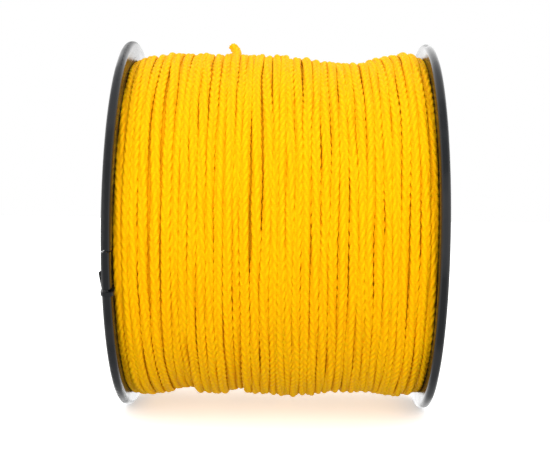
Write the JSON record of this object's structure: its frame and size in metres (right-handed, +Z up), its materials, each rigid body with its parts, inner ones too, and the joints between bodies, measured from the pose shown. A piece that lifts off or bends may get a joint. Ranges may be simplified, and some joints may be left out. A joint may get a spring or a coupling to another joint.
{
  "type": "fishing line spool",
  "caption": "Plastic spool with two round flanges, a hollow barrel and a through bore, wound full with braided yellow fishing line.",
  "frame": {"origin": "on the bore's axis, midway between the two flanges", "axes": "+X along the bore towards the right flange, +Z up, -Y towards the front"},
  "size_m": [0.0586, 0.07, 0.07],
  "materials": {
    "flange_plastic": "semi-gloss moulded black",
    "barrel_plastic": "plain moulded black",
    "line": "braided golden yellow nylon"
  },
  "bodies": {
    "spool": {"left_flange": "flange_plastic", "right_flange": "flange_plastic", "barrel": "barrel_plastic", "arbor_tube": "barrel_plastic", "line_coil": "line", "line_start": "line", "line_end": "line", "anchor_knot": "line"},
    "left_clip": {"left_clip": "flange_plastic"},
    "right_clip": {"right_clip": "flange_plastic"}
  },
  "joints": [
    {"name": "left_clip_flex", "type": "hinge", "parent": "spool", "child": "left_clip", "pos_m": [-0.02805, -0.03302, -0.00435], "axis": [0, 0.9914, 0.1305], "range_deg": [0, 10], "stiffness_Nm_per_rad": 0.05},
    {"name": "right_clip_flex", "type": "hinge", "parent": "spool", "child": "right_clip", "pos_m": [0.02805, 0.03302, -0.00435], "axis": [0, -0.9914, 0.1305], "range_deg": [0, 10], "stiffness_Nm_per_rad": 0.05}
  ]
}
